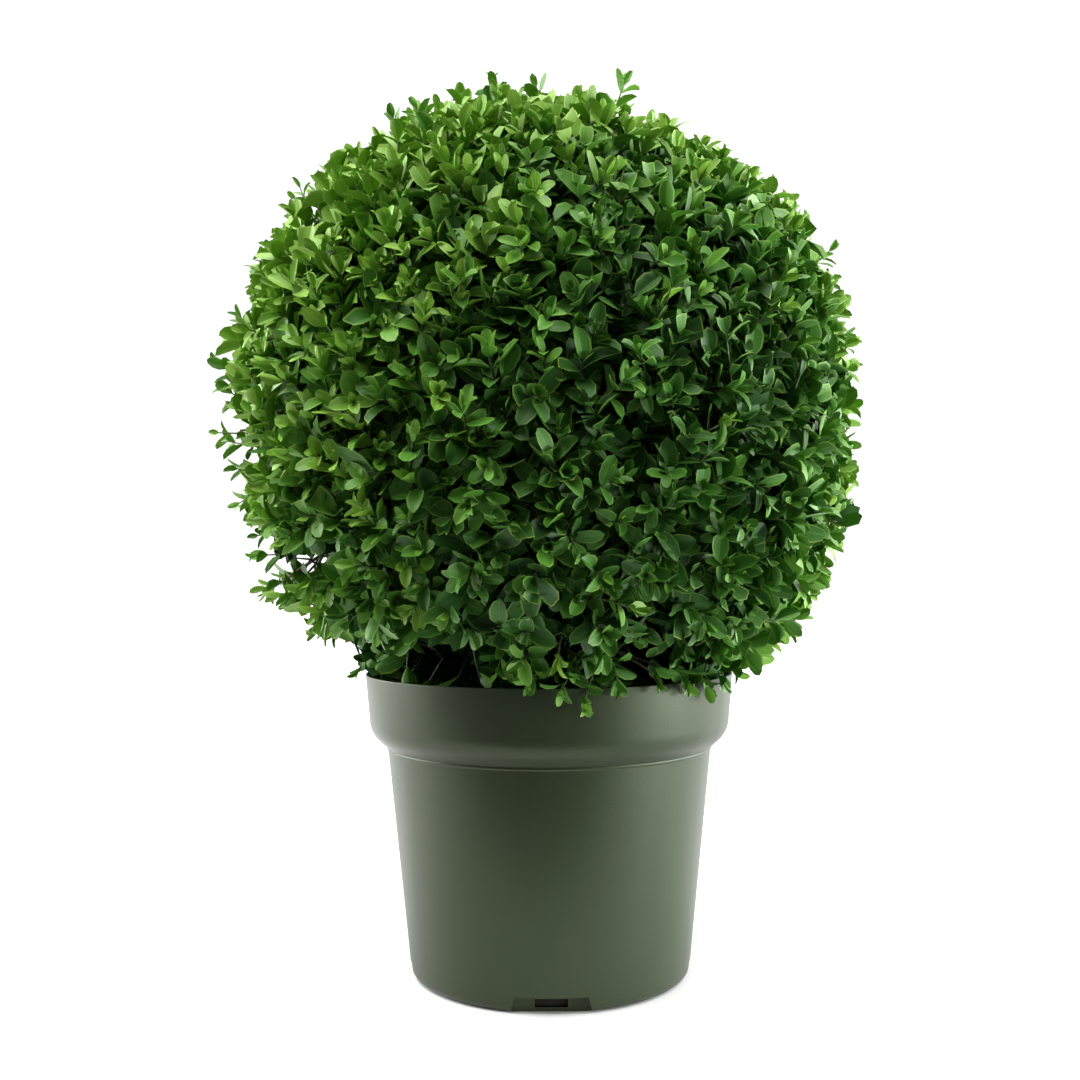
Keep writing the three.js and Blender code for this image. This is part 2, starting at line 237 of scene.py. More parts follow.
def map_range(tree, value, start, end, low, high, kind="LINEAR"):
    """Low where the value is at start, high where it is at end."""
    node = tree.nodes.new("ShaderNodeMapRange")
    node.interpolation_type = kind
    for socket, number in zip(("From Min", "From Max", "To Min", "To Max"), (start, end, low, high), strict=True):
        node.inputs[socket].default_value = number
    tree.links.new(value, node.inputs["Value"])
    return node.outputs["Result"]


class Nodes:
    """Short names for the nodes that the patterned materials share."""

    def __init__(self, made):
        self.tree = made.node_tree
        self.shader = self.tree.nodes["Principled BSDF"]
        self.place = self.tree.nodes.new("ShaderNodeTexCoord").outputs["Object"]

    def link(self, start, end):
        self.tree.links.new(start, end)

    def scaled(self, scale):
        node = self.tree.nodes.new("ShaderNodeMapping")
        node.inputs["Scale"].default_value = scale
        self.link(self.place, node.inputs["Vector"])
        return node.outputs["Vector"]

    def noise(self, scale, detail=4, roughness=0.55, place=None):
        node = self.tree.nodes.new("ShaderNodeTexNoise")
        node.inputs["Scale"].default_value = scale
        node.inputs["Detail"].default_value = detail
        node.inputs["Roughness"].default_value = roughness
        self.link(place or self.place, node.inputs["Vector"])
        return node.outputs["Fac"]

    def ramp(self, value, *stops):
        node = self.tree.nodes.new("ShaderNodeValToRGB")
        ramp = node.color_ramp
        while len(ramp.elements) < len(stops):
            ramp.elements.new(0.5)
        for element, (at, colour) in zip(ramp.elements, stops, strict=True):
            element.position = at
            element.color = (*colour, 1)
        self.link(value, node.inputs["Fac"])
        return node.outputs["Color"]

    def bump(self, height, distance, strength=1.0, under=None):
        node = self.tree.nodes.new("ShaderNodeBump")
        node.inputs["Strength"].default_value = strength
        node.inputs["Distance"].default_value = distance
        self.link(height, node.inputs["Height"])
        if under is not None:
            self.link(under, node.inputs["Normal"])
        return node.outputs["Normal"]

    def finish(self, colour, roughness, normal):
        for socket, value in (("Base Color", colour), ("Roughness", roughness), ("Normal", normal)):
            self.link(value, self.shader.inputs[socket])


def pot_plastic():
    """Satin olive-green plastic: a fine moulded grain, faint upright flow marks and a faintly clouded colour."""
    made = material(
        "pot_plastic", (0.018, 0.0265, 0.0128), 0.42, Specular_IOR_Level=0.33, Specular_Tint=(0.84, 1, 0.7, 1)
    )
    n = Nodes(made)
    flow = n.noise(1.0, 3, place=n.scaled((26, 26, 1.5)))
    cloud = n.noise(9, 5)
    grain = n.noise(900, 2)
    colour = n.ramp(cloud, (0.3, (0.0168, 0.0244, 0.0115)), (0.7, (0.0199, 0.0288, 0.0142)))
    roughness = map_range(n.tree, flow, 0.3, 0.7, 0.34, 0.46)
    normal = n.bump(grain, 0.00012, 0.5, under=n.bump(flow, 0.0004, 0.25))
    n.finish(colour, roughness, normal)
    return made


def compost_stuff():
    """Dark crumbly compost, paler on its larger clumps."""
    made = material("compost", (0.012, 0.008, 0.005), 0.95)
    n = Nodes(made)
    clump = n.noise(120, 8, 0.65)
    colour = n.ramp(clump, (0.3, (0.006, 0.004, 0.0025)), (0.55, (0.018, 0.011, 0.006)), (0.75, (0.05, 0.03, 0.016)))
    normal = n.bump(clump, 0.003, 0.9, under=n.bump(n.noise(520, 4), 0.0012, 0.7))
    n.finish(colour, map_range(n.tree, clump, 0, 1, 0.8, 1.0), normal)
    return made


def bark_stuff():
    """Finely fissured grey-brown bark, its furrows running along the limb."""
    made = material("bark", (0.16, 0.12, 0.075), 0.85)
    n = Nodes(made)
    furrow = n.noise(1.0, 6, 0.6, place=n.scaled((420, 420, 120)))
    patch = n.noise(60, 4)
    colour = n.ramp(furrow, (0.32, (0.05, 0.036, 0.02)), (0.52, (0.15, 0.115, 0.07)), (0.72, (0.27, 0.225, 0.15)))
    normal = n.bump(furrow, 0.0012, 0.9, under=n.bump(patch, 0.001, 0.4))
    n.finish(colour, map_range(n.tree, furrow, 0, 1, 0.75, 0.95), normal)
    return made


# Leaf colours, dealt out by spray, from dark green to yellow-green: the oldest leaves to the youngest, and also painted
# light and shade, since each shoot's tone is set partly by where it faces the lights.
BLADES = (
    (0.016, 0.060, 0.008), (0.022, 0.080, 0.012), (0.030, 0.107, 0.015), (0.041, 0.140, 0.016),
    (0.061, 0.190, 0.019), (0.094, 0.240, 0.022), (0.130, 0.280, 0.026), (0.174, 0.330, 0.036),
)
# The margins and midribs follow each leaf's blade tone, so they carry its painted light and shade too.
MARGINS = ((0.068, 0.160, 0.026), (0.118, 0.248, 0.036), (0.150, 0.315, 0.050), (0.230, 0.410, 0.070))
RIBS = ((0.034, 0.098, 0.018), (0.085, 0.210, 0.032), (0.230, 0.420, 0.075))
leaf_materials = [
    material(f"{surface}_{i + 1}", colour, roughness, Specular_IOR_Level=level)
    for surface, colours, roughness, level in (
        ("blade", BLADES, 0.44, 0.22), ("margin", MARGINS, 0.5, 0.25), ("rib", RIBS, 0.5, 0.25),
    )
    for i, colour in enumerate(colours)
]
leaf_materials.append(material("cut_edge", (0.22, 0.34, 0.06), 0.6, Specular_IOR_Level=0.2))
FIRST_MARGIN = len(BLADES)
FIRST_RIB = FIRST_MARGIN + len(MARGINS)
CUT_EDGE = FIRST_RIB + len(RIBS)
twig_green = material("twig_green", (0.034, 0.066, 0.012), 0.6)
twig_brown = material("twig_brown", (0.032, 0.032, 0.014), 0.8)
pot_material = pot_plastic()
compost_material = compost_stuff()
bark_material = bark_stuff()


# ---------- the pot ----------
POT_SIDES = 160
ON_AXIS = 1e-6
CREASE = radians(32)  # edges sharper than this are shaded as edges
CLEAN_WITHIN = 0.00001  # metres; shorter slivers are taken out after the cuts
BEAD = ((-0.1, -1.6), (0.45, -0.9), (0.6, -0.2), (0.35, 0.5))  # a fine bead, from BODY_TOP
WALL_RINGS = (NOTCH["height"] + 2 * WALL, 45, 90)  # for even shading

bead = [(BODY_TOP[0] + out, BODY_TOP[1] + up, 0) for out, up in BEAD]
wall_slope = (bead[0][0] - BASE_RADIUS) / bead[0][1]
# The pot's profile, as corners of radius, z and rounding.
outside = [
    (0, 0, 0),
    (BASE_RADIUS, 0, 7),
    *[(BASE_RADIUS + wall_slope * z, z, 0) for z in WALL_RINGS],
    *bead,
    (*COLLAR_FOOT, 7),
]
lip = [(RIM_RADIUS, POT_HEIGHT, 0.7), (RIM_RADIUS - WALL, POT_HEIGHT, 0.7)]
inside = [
    (COLLAR_FOOT[0] - WALL, COLLAR_FOOT[1] + 1, 6),
    (BODY_TOP[0] - WALL, BODY_TOP[1] + 1, 0),
    (BASE_RADIUS - WALL + 0.3, FLOOR, 5),
    (0, FLOOR, 0),
]


def rounded(corners, steps=8):
    """A path through corners (radius, z, rounding), with its rounded ones turned into arcs."""
    points = []
    for i, (r, z, rounding) in enumerate(corners):
        here = np.array([r, z], float)
        if not rounding:
            points.append(here)
            continue
        before, after = np.array(corners[i - 1][:2], float), np.array(corners[i + 1][:2], float)
        start = here + unit(before - here) * rounding
        end = here + unit(after - here) * rounding
        for t in np.linspace(0, 1, steps + 1):
            points.append((1 - t) ** 2 * start + 2 * t * (1 - t) * here + t * t * end)
    return points


def lathe(points, sides):
    """A closed solid of revolution. Points on the axis become poles."""
    verts, rings = [], []
    angles = np.arange(sides) * 2 * pi / sides
    for r, z in points:
        if r < ON_AXIS:
            rings.append([len(verts)])
            verts.append((0, 0, z))
        else:
            rings.append(list(range(len(verts), len(verts) + sides)))
            verts.extend((r * cos(a), r * sin(a), z) for a in angles)
    faces = []
    for low, high in zip(rings, rings[1:] + rings[:1], strict=True):
        if len(low) == 1 and len(high) == 1:
            continue
        for k in range(sides):
            ring = [low[k % len(low)], low[(k + 1) % len(low)], high[(k + 1) % len(high)], high[k % len(high)]]
            faces.append(list(dict.fromkeys(ring)))
    return verts, faces


def foot_block(top, foot, low, high, near):
    """A block at the pot's foot that faces -Y, from this near to the axis out past the wall."""
    profile = ((-foot / 2, low), (foot / 2, low), (top / 2, high), (-top / 2, high))
    verts = [(x, -near, z) for x, z in profile] + [(x, -RIM_RADIUS, z) for x, z in profile]
    return verts, [[3, 2, 1, 0], [4, 5, 6, 7], [0, 1, 5, 4], [1, 2, 6, 5], [2, 3, 7, 6], [3, 0, 4, 7]]


def scratch(verts, faces, angle=0.0):
    """A working object, turned about the pot's axis."""
    mesh = bpy.data.meshes.new("scratch")
    mesh.from_pydata((np.asarray(verts, float) * MM).tolist(), [], faces)
    mesh.transform(Matrix.Rotation(angle, 4, "Z"))
    return link_object("scratch", mesh)


def boolean(obj, other, operation):
    """Applies one Boolean to obj and removes the other object."""
    modifier = obj.modifiers.new("cut", "BOOLEAN")
    modifier.object = other
    modifier.operation = operation
    modifier.solver = "EXACT"
    evaluated = obj.evaluated_get(bpy.context.evaluated_depsgraph_get())
    old = obj.data
    obj.data = bpy.data.meshes.new_from_object(evaluated)
    obj.modifiers.clear()
    bpy.data.meshes.remove(old)
    bpy.data.objects.remove(other)


def without_slivers(mesh):
    clean = bmesh.new()
    clean.from_mesh(mesh)
    bmesh.ops.remove_doubles(clean, verts=clean.verts, dist=CLEAN_WITHIN)
    bmesh.ops.dissolve_degenerate(clean, edges=clean.edges, dist=CLEAN_WITHIN)
    clean.to_mesh(mesh)
    clean.free()


def make_pot():
    """The turned pot with a pocket behind each notch of its foot, and a drain opening in each pocket's back."""
    pot = scratch(*lathe(rounded(outside + lip + inside), POT_SIDES))
    plug = lathe(rounded([*outside, (RIM_RADIUS, POT_HEIGHT, 0), (0, POT_HEIGHT, 0)]), POT_SIDES)
    top, foot, height, back = NOTCH.values()
    pocket = foot_block(top + 2 * WALL, foot + 2 * WALL, low=0, high=height + WALL, near=back - WALL)
    notch = foot_block(top, foot + (foot - top) / height, low=-1, high=height, near=back)
    drain = foot_block(DRAIN["width"], DRAIN["width"], low=FLOOR, high=DRAIN["top"], near=back - 2 * WALL)
    angles = [i * 2 * pi / NOTCHES for i in range(NOTCHES)]
    for angle in angles:
        block = scratch(*pocket, angle)
        boolean(block, scratch(*plug), "INTERSECT")
        boolean(pot, block, "UNION")
    for angle in angles:
        for cut in (notch, drain):
            boolean(pot, scratch(*cut, angle), "DIFFERENCE")
    without_slivers(pot.data)
    pot.name = pot.data.name = "pot_shell"
    pot.data.materials.clear()
    pot.data.materials.append(pot_material)
    pot.data.polygons.foreach_set("use_smooth", np.full(len(pot.data.polygons), True))
    pot.data.set_sharp_from_angle(angle=CREASE)
    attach(pot, "root")
    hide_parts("pot")


# ---------- the compost ----------
COMPOST_SIDES, COMPOST_RINGS = 120, 46
LUMPS = ((1.5, 9, 3), (1.0, 4, 5), (0.5, 2, 8))  # height, breadth and seed
CRUMBS, CRUMBS_FROM, CRUMBS_TO = 260, 20, 105  # tries and radii


def value_noise(points, seed):
    """Smooth noise from -1 to 1 over points of three coordinates, from a seeded lattice."""
    cell = np.floor(points).astype(np.int64)
    part = points - cell
    part = part * part * (3 - 2 * part)
    total = np.zeros(len(points))
    for corner in np.ndindex(2, 2, 2):
        at = cell + corner
        mixed = at[:, 0] * 374761393 + at[:, 1] * 668265263 + at[:, 2] * 2147483647 + seed * 144665
        mixed = (mixed ^ (mixed >> 13)) * 1274126177
        value = ((mixed ^ (mixed >> 16)) & 0xFFFF) / 32768 - 1
        weight = np.prod(np.where(np.array(corner) == 1, part, 1 - part), axis=1)
        total += value * weight
    return total


def make_compost():
    """The root ball's top, lumpy and banked up a little to the stem, over a plain body in the pot."""
    edge = COLLAR_FOOT[0] - WALL + 0.5
    foot = NOTCH["back"] - WALL - 2 * GAP
    clear = NOTCH["height"] + WALL + GAP  # above the pockets behind the notches
    slope = (BODY_TOP[0] - BASE_RADIUS) / BODY_TOP[1]
    profile = [(0, FLOOR + GAP), (foot, FLOOR + GAP), (foot, clear), (BASE_RADIUS - WALL - GAP + slope * clear, clear)]
    wall = rounded([(RIM_RADIUS - WALL, POT_HEIGHT, 0), *inside])
    profile += [(p[0] - GAP, p[1] + GAP) for p in reversed(wall) if clear < p[1] < SOIL_EDGE_Z - 1]
    for i in range(COMPOST_RINGS):
        r = edge * (1 - i / COMPOST_RINGS)
        bank = clamp((edge - r) / (edge - SOIL_TOP_RADIUS))
        profile.append((r, SOIL_EDGE_Z + (SOIL_TOP_Z - SOIL_EDGE_Z) * bank))
    verts, faces = lathe([*profile, (0, SOIL_TOP_Z)], COMPOST_SIDES)
    verts = np.array(verts, float)
    up = verts[:, 2] >= SOIL_EDGE_Z - 0.01
    reach = np.hypot(verts[:, 0], verts[:, 1])
    lumps = sum(height * value_noise(verts / breadth, seed) for height, breadth, seed in LUMPS)
    fade = np.clip((edge - reach) / 4, 0, 1)
    verts[:, 2] += np.where(up, lumps * fade, 0)
    new_piece("compost_bed", verts, faces, [compost_material], "compost", ["compost"])
    make_crumbs(verts[up])


def make_crumbs(ground):
    """Bits of bark and peat on the compost, each a squashed octahedron."""
    draw = seeded(29)
    corners = np.array([(0, 0, 1), (1, 0, 0), (0, 1, 0), (-1, 0, 0), (0, -1, 0), (0, 0, -1)], float)
    sides = [[0, 1, 2], [0, 2, 3], [0, 3, 4], [0, 4, 1], [5, 2, 1], [5, 3, 2], [5, 4, 3], [5, 1, 4]]
    crumbs = []
    for _ in range(CRUMBS):
        seat = ground[int(draw() * len(ground))]
        if not CRUMBS_FROM < np.hypot(seat[0], seat[1]) < CRUMBS_TO:
            continue
        size = np.array([1.2 + 3.2 * draw(), 0.9 + 1.6 * draw(), 0.7 + 0.7 * draw()])
        turn = draw() * 2 * pi
        shape = corners * size * (0.75 + 0.5 * np.array([draw() for _ in corners]))[:, None]
        spin = np.array([[cos(turn), -sin(turn), 0], [sin(turn), cos(turn), 0], [0, 0, 1]])
        crumbs.append((shape @ spin.T + seat + (0, 0, 0.2), sides))
    new_piece("compost_crumbs", *joined(crumbs), [compost_material], "compost", smooth=False)


# ---------- limbs and branches ----------
STEM_FOOT = np.array([0.0, 0.0, SOIL_TOP_Z + GAP])
STEM_TOP = np.array([*STEM_LEAN, STEM_TOP_Z], float)
STEM_SUNK = 2.5  # into the compost
STEM_SIDES, STEM_STEPS = 40, 48
FLARE_SHARE = 0.4  # of the stem's length
LOBE_DEPTH = 0.14  # the flare's three lobes
BOUGH_SIDES, BOUGH_STEPS = 24, 40
BRANCH_SIDES, BRANCH_STEPS = 6, 9
BRANCH_RADII = {"thickest": 2.7, "root": 1.5, "outer": (1.15, 0.8)}  # at the bough, at the twig's root and beyond
TURN_COST = 60  # added to the distance of a bough's end that points square to the way to the twig


def tubes(paths, radii, sides):
    """Closed round tubes along paths, an array of paths by points by 3, with an array of radii."""
    paths, radii = np.asarray(paths, float), np.asarray(radii, float)
    count, points = radii.shape
    tangents = np.gradient(paths, axis=1)
    tangents /= np.linalg.norm(tangents, axis=2, keepdims=True)
    whole = paths[:, -1] - paths[:, 0]
    flat = np.abs(whole[:, 2:]) < 0.9 * np.linalg.norm(whole, axis=1, keepdims=True)
    aside = np.cross(whole, np.where(flat, UP, (1, 0, 0)))
    normals = aside[:, None, :] - tangents * np.sum(aside[:, None, :] * tangents, axis=2, keepdims=True)
    normals /= np.linalg.norm(normals, axis=2, keepdims=True)
    binormals = np.cross(tangents, normals)
    angles = np.arange(sides) * 2 * pi / sides
    ring = normals[:, :, None, :] * np.cos(angles)[:, None] + binormals[:, :, None, :] * np.sin(angles)[:, None]
    verts = (paths[:, :, None, :] + ring * radii[:, :, None, None]).reshape(-1, 3)
    base = np.arange(count)[:, None, None] * points * sides + np.arange(points - 1)[:, None] * sides
    here, ahead = np.arange(sides), (np.arange(sides) + 1) % sides
    quads = np.stack([base + here, base + ahead, base + sides + ahead, base + sides + here], axis=-1).reshape(-1, 4)
    starts = np.arange(count)[:, None] * points * sides + here[::-1]
    ends = np.arange(count)[:, None] * points * sides + (points - 1) * sides + here
    return verts, quads.tolist() + starts.tolist() + ends.tolist()


def bezier(points, steps):
    t = np.linspace(0, 1, steps)[:, None]
    if len(points) == 3:
        a, b, c = points
        return (1 - t) ** 2 * a + 2 * t * (1 - t) * b + t * t * c
    a, b, c, d = points
    return (1 - t) ** 3 * a + 3 * t * (1 - t) ** 2 * b + 3 * t * t * (1 - t) * c + t**3 * d


def bough_paths():
    """The points that each bough and then the leader bends through, with its radius at the root, as in the source."""
    made = []
    for whorl in WHORLS:
        rise = radians(whorl["rise"])
        for i in range(BOUGHS_IN_WHORL):
            azimuth = radians(whorl["turn"] + i * 360 / BOUGHS_IN_WHORL)
            out = np.array([cos(azimuth), sin(azimuth), 0])
            root = STEM_FOOT + (STEM_TOP - STEM_FOOT) * (whorl["z"] - STEM_FOOT[2]) / (STEM_TOP[2] - STEM_FOOT[2])
            elbow = BOUGH_ELBOW["at"] * whorl["length"] * (out * cos(rise) + UP * sin(rise) * BOUGH_ELBOW["rise"])
            tip = whorl["length"] * (out * cos(rise) * BOUGH_TIP["out"] + UP * sin(rise) * BOUGH_TIP["rise"])
            made.append(((root, root + elbow, root + tip), whorl["radius"]))
    root = STEM_TOP + UP * GAP
    bend = root + np.array([*LEADER_BEND, LEADER_LENGTH / 2])
    made.append(((root, bend, root + np.array([*LEADER_TIP, LEADER_LENGTH])), LEADER_RADIUS))
    return made


def barked(path, radii, sides, seed):
    """One limb's mesh, with low ridges and scars of bark in its surface."""
    verts, faces = tubes([path], [radii], sides)
    middles = np.repeat(path, sides, axis=0)
    stretched = verts / np.array([2.2, 2.2, 7])
    relief = 0.05 * value_noise(stretched, seed) + 0.035 * value_noise(verts / 1.3, seed + 1)
    return middles + (verts - middles) * (1 + relief[:, None]), faces


def barked_stem():
    """The stem's mesh, its flare parted into three low lobes."""
    share = np.linspace(0, 1, STEM_STEPS)
    path = STEM_FOOT + (STEM_TOP - STEM_FOOT) * share[:, None]
    path[0, 2] -= STEM_SUNK
    flare = np.clip(1 - share / FLARE_SHARE, 0, None) ** 2
    radii = STEM_RADIUS + (STEM_TOP_RADIUS - STEM_RADIUS) * share + (STEM_FLARE_RADIUS - STEM_RADIUS) * flare
    verts, faces = barked(path, radii, STEM_SIDES, 41)
    angle = np.tile(np.arange(STEM_SIDES) * 2 * pi / STEM_SIDES, STEM_STEPS)
    lobes = 1 + LOBE_DEPTH * np.cos(3 * angle + 0.6) * np.repeat(flare, STEM_SIDES)
    middles = np.repeat(path, STEM_SIDES, axis=0)
    return middles + (verts - middles) * lobes[:, None], faces


def make_limbs():
    limbs = [barked_stem()]
    for k, (points, radius) in enumerate(bough_paths()):
        radii = radius * (1 + (BOUGH_TIP_SHARE - 1) * np.linspace(0, 1, BOUGH_STEPS))
        limbs.append(barked(bezier(points, BOUGH_STEPS), radii, BOUGH_SIDES, 50 + k))
    nodes = ["stem", "leader", *[f"bough_{i + 1}" for i in range(len(WHORLS) * BOUGHS_IN_WHORL)]]
    new_piece("bark_limbs", *joined(limbs), [bark_material], "bark", nodes)


def main_twigs():
    """The CAD source's twigs: their ways, their leaf tips' reach and their roots and tips. The strays come last."""
    random = seeded(11)
    twigs = []
    for i in range(MAIN_TWIGS):
        way = spiral_way(i, MAIN_TWIGS, LOWEST_TWIG, TWIG_JITTER, random)
        reach = outline(way) * (0.985 + 0.03 * random())
        twigs.append({"way": way, "reach": reach, "lean": random(), "roll": random()})
    for azimuth, elevation, reach in STRAY_SHOOTS:
        way = direction(radians(azimuth), radians(elevation))
        twigs.append({"way": way, "reach": reach, "lean": random(), "roll": random(), "stray": True})
    splay = radians(FIRST_PAIR["splay"])
    for twig in twigs:
        way = twig["way"]
        across = turned(across_of(way), way, twig["roll"] * 2 * pi)
        size = STRAY_SIZE if "stray" in twig else 1
        reach = sqrt(twig["reach"] ** 2 - (LEAF_LENGTH * size * sin(splay)) ** 2)
        tip = reach - (LEAF_LENGTH * cos(splay) - FIRST_PAIR["below"]) * size
        twig["root"] = BALL_CENTRE + way * (CORE_RADIUS - TWIG_SUNK) + across * (twig["lean"] - 0.5) * TWIG_SUNK
        twig["tip"] = BALL_CENTRE + way * tip
    return twigs


def inner_branches(twigs):
    """Branches that fan from the boughs' ends to the roots of the twigs, and on to the twigs' tips."""
    ends = [(points[2], unit(points[2] - points[1]), radius * BOUGH_TIP_SHARE) for points, radius in bough_paths()]
    paths, radii = [], []
    for twig in twigs:
        far = []
        for tip, way, _ in ends:
            leap = twig["root"] - tip
            far.append(np.linalg.norm(leap) + TURN_COST * (1 - np.dot(unit(leap), way)))
        tip, way, radius = ends[int(np.argmin(far))]
        span = np.linalg.norm(twig["root"] - tip)
        control = (tip, tip + way * 0.3 * span, twig["root"] - twig["way"] * 0.35 * span, twig["root"])
        outer = [twig["root"] + (twig["tip"] - twig["root"]) * s for s in (0.5, 1)]
        paths.append(np.vstack([bezier(control, BRANCH_STEPS), outer]))
        taper = np.linspace(min(radius, BRANCH_RADII["thickest"]), BRANCH_RADII["root"], BRANCH_STEPS)
        radii.append([*taper, *BRANCH_RADII["outer"]])
    return paths, radii


# ---------- leaves ----------
# A leaf's width along its length, beside its greatest width.
WIDTHS = ((0.0, 0.0), (0.09, 0.30), (0.20, 0.64), (0.36, 0.92), (0.55, 1.0), (0.72, 0.94), (0.90, 0.62), (1.0, 0.0))
RIB, RIM = 0.05, 0.84  # where the midrib's and the margin's colours start, beside half the leaf's width
BLADE, MIDRIB, MARGIN, CUT = range(4)
KINDS = ("whole", "cut", "old")
RAGGED_FROM = 0.93  # a cut leaf's end is uneven beyond this share of its length
LEAST_ARCH = 0.02  # flatter leaves get this
LEAST_LEFT, WHOLE_FROM = 0.3, 0.9  # shares of a clipped leaf: gone below the first, whole above the second
# Each leaf's own form: the least value and the spread over it, the width beside its length.
LEAF_FORMS = {"width": (0.47, 0.12), "fold": (-0.1, 0.6), "curl": (-0.1, 0.6), "arch": (-0.4, 1.4)}


def leaf_template(kind):
    """A leaf's points, as (share of its length, share of its half width), and its faces with the surface each one is.
    A cut leaf ends in a straight pale edge in place of its tip; an old one, deep inside the ball, is plain."""
    if kind == "old":
        points = [(0, 0), *[(s, a) for s in (0.32, 0.78) for a in (-1, 0, 1)], (1, 0)]
        faces = [[0, 2, 1], [0, 3, 2], [1, 2, 5, 4], [2, 3, 6, 5], [4, 5, 7], [5, 6, 7]]
        return np.array(points, float), [(face, BLADE) for face in faces]
    columns = (-1, -RIM, -RIB, RIB, RIM, 1)
    strips = (MARGIN, BLADE, MIDRIB, BLADE, MARGIN)
    stations = (0.09, 0.34, 0.64, 0.90) if kind == "whole" else (0.10, 0.40, 0.72, 0.965, 1.0)
    points = [(0, 0), *[(s, a) for s in stations for a in columns]]
    rows = [range(1 + k * len(columns), 1 + (k + 1) * len(columns)) for k in range(len(stations))]
    foot_strips = (BLADE, BLADE, MIDRIB, BLADE, BLADE)
    faces = [([0, rows[0][j + 1], rows[0][j]], surface) for j, surface in enumerate(foot_strips)]
    for low, high in zip(rows, rows[1:]):
        last = kind == "cut" and high is rows[-1]
        faces += [([low[j], low[j + 1], high[j + 1], high[j]], CUT if last else strips[j]) for j in range(len(strips))]
    if kind == "whole":
        faces += [([rows[-1][j], rows[-1][j + 1], len(points)], surface) for j, surface in enumerate(strips)]
        points.append((1, 0))
    return np.array(points, float), faces


def leaf_meshes(leaves, kind):
    """The vertices, faces and face materials of many leaves at once. Each leaf is a dict; see grown_leaf()."""
    template, faces = leaf_template(kind)
    share, across = template[:, 0], template[:, 1]

    def pick(key):
        return np.array([leaf[key] for leaf in leaves], float)

    root, along, upper = pick("root"), pick("along"), pick("upper")
    length, width, fold, curl = (pick(key)[:, None] for key in ("length", "width", "fold", "curl"))
    arch, end, skew, notch = (pick(key)[:, None] for key in ("arch", "end", "skew", "notch"))
    side = np.cross(upper, along)
    ragged = skew * across + notch * np.abs(across) + 0.045 * np.sin(7 * across + 40 * skew)
    share = share * end + np.where(share > RAGGED_FROM, end * ragged, 0) * (kind == "cut")
    half = np.interp(share, *zip(*WIDTHS, strict=True)) * width / 2
    angle = arch * share
    ahead = length * np.sin(angle) / arch
    height = -length * (1 - np.cos(angle)) / arch
    height = height + half * (fold * np.abs(across) + curl * across**2)
    spread = across * half * np.cos(np.arctan(fold))
    verts = root[:, None] + along[:, None] * ahead[..., None] + upper[:, None] * height[..., None]
    verts = verts + side[:, None] * spread[..., None]
    tone = pick("tone").astype(int)
    # the blade's tone, with its painted light and shade, also picks the margin and rib colours
    materials = {
        BLADE: tone,
        MIDRIB: FIRST_RIB + np.minimum(tone // 3, len(RIBS) - 1),
        MARGIN: FIRST_MARGIN + tone // 2,
        CUT: np.full(len(leaves), CUT_EDGE),
    }
    offsets = np.arange(len(leaves))[:, None] * len(template)
    made, slots = [], []
    for corners, surface in faces:
        made += (offsets + np.array(corners)).tolist()
        slots += materials[surface].tolist()
    return verts.reshape(-1, 3), made, slots


def clear_of_pot(point):
    """Whether a point is above the rim, outside the pot or in its mouth over the compost."""
    out = np.hypot(point[0], point[1])
    in_mouth = out < RIM_RADIUS - WALL - 4 and point[2] > SOIL_TOP_Z + 6
    return point[2] > POT_HEIGHT + 1.5 or out > RIM_RADIUS + 1.0 or in_mouth


def under_skirt(point):
    """Whether a point outside the rim is below the level that the clipped underside keeps to, higher on the left."""
    out = np.hypot(point[0], point[1]) - RIM_RADIUS
    level = POT_HEIGHT + 8 + 20 * max(0, -point[0] / 150) + min(10, 0.2 * max(0, out))
    return out > 2 and point[2] < level


def in_gap(point, room):
    """Whether a point would be seen in an opening, through which the sky or the shade inside shows."""
    gaps = GAPS if point[0] < GAPS_LEFT_OF else SHADED if point[1] < SHADED_IN_FRONT_OF else ()
    near = VIEWPOINT[1] / (VIEWPOINT[1] - point[1])
    x = VIEWPOINT[0] + (point[0] - VIEWPOINT[0]) * near
    z = VIEWPOINT[2] + (point[2] - VIEWPOINT[2]) * near
    return any(hypot(x - at_x, z - at_z) < radius + room for at_x, at_z, radius in gaps)


def grown_leaf(root, axis, out, splay, length, tone, draw, limit=None, kind="whole", free=False):
    """One leaf at a node of a shoot, or None if it is clipped away, meets the pot or, unless it is free, closes a gap.
    The limit is where it is clipped, beside the outline."""

    def varied(name):
        least, spread = LEAF_FORMS[name]
        return least + spread * draw()

    off = radians(splay)
    along = unit(axis * cos(off) + out * sin(off))
    upper = axis * sin(off) - out * cos(off)
    upper = upper + UP * 0.35 + scatter(draw) * 0.9
    upper = unit(upper - along * np.dot(upper, along))
    arch = varied("arch")
    point = root + along * length * 0.95 - upper * length * arch * 0.45
    end = 1.0
    if limit is not None:
        depth, start = np.linalg.norm(point - BALL_CENTRE), np.linalg.norm(root - BALL_CENTRE)
        allowed = outline((point - BALL_CENTRE) / depth) * limit * (0.985 + 0.03 * draw())
        if depth > allowed:
            end = (allowed - start) / (depth - start) if depth > start else 0
            if end > WHOLE_FROM:
                end = 1.0
    if end < LEAST_LEFT or not (clear_of_pot(root + (point - root) * end) and clear_of_pot((point + root) / 2)):
        return None
    if not free and in_gap((root + point) / 2, room=4):
        return None
    return {
        "root": root, "along": along, "upper": upper, "length": length, "width": length * varied("width"),
        "fold": varied("fold"), "curl": varied("curl"), "arch": arch if abs(arch) > LEAST_ARCH else LEAST_ARCH,
        "end": end, "skew": (draw() - 0.5) * 0.3, "notch": (draw() - 0.6) * 0.3,
        "tone": int(np.clip(round(tone), 0, len(BLADES) - 1)), "kind": "cut" if end < 1 else kind,
    }


# ---------- shoots ----------
SPLAYS = (16, 34, 48, 57, 63, 67, 70)  # of each pair down from a shoot's tip, in degrees
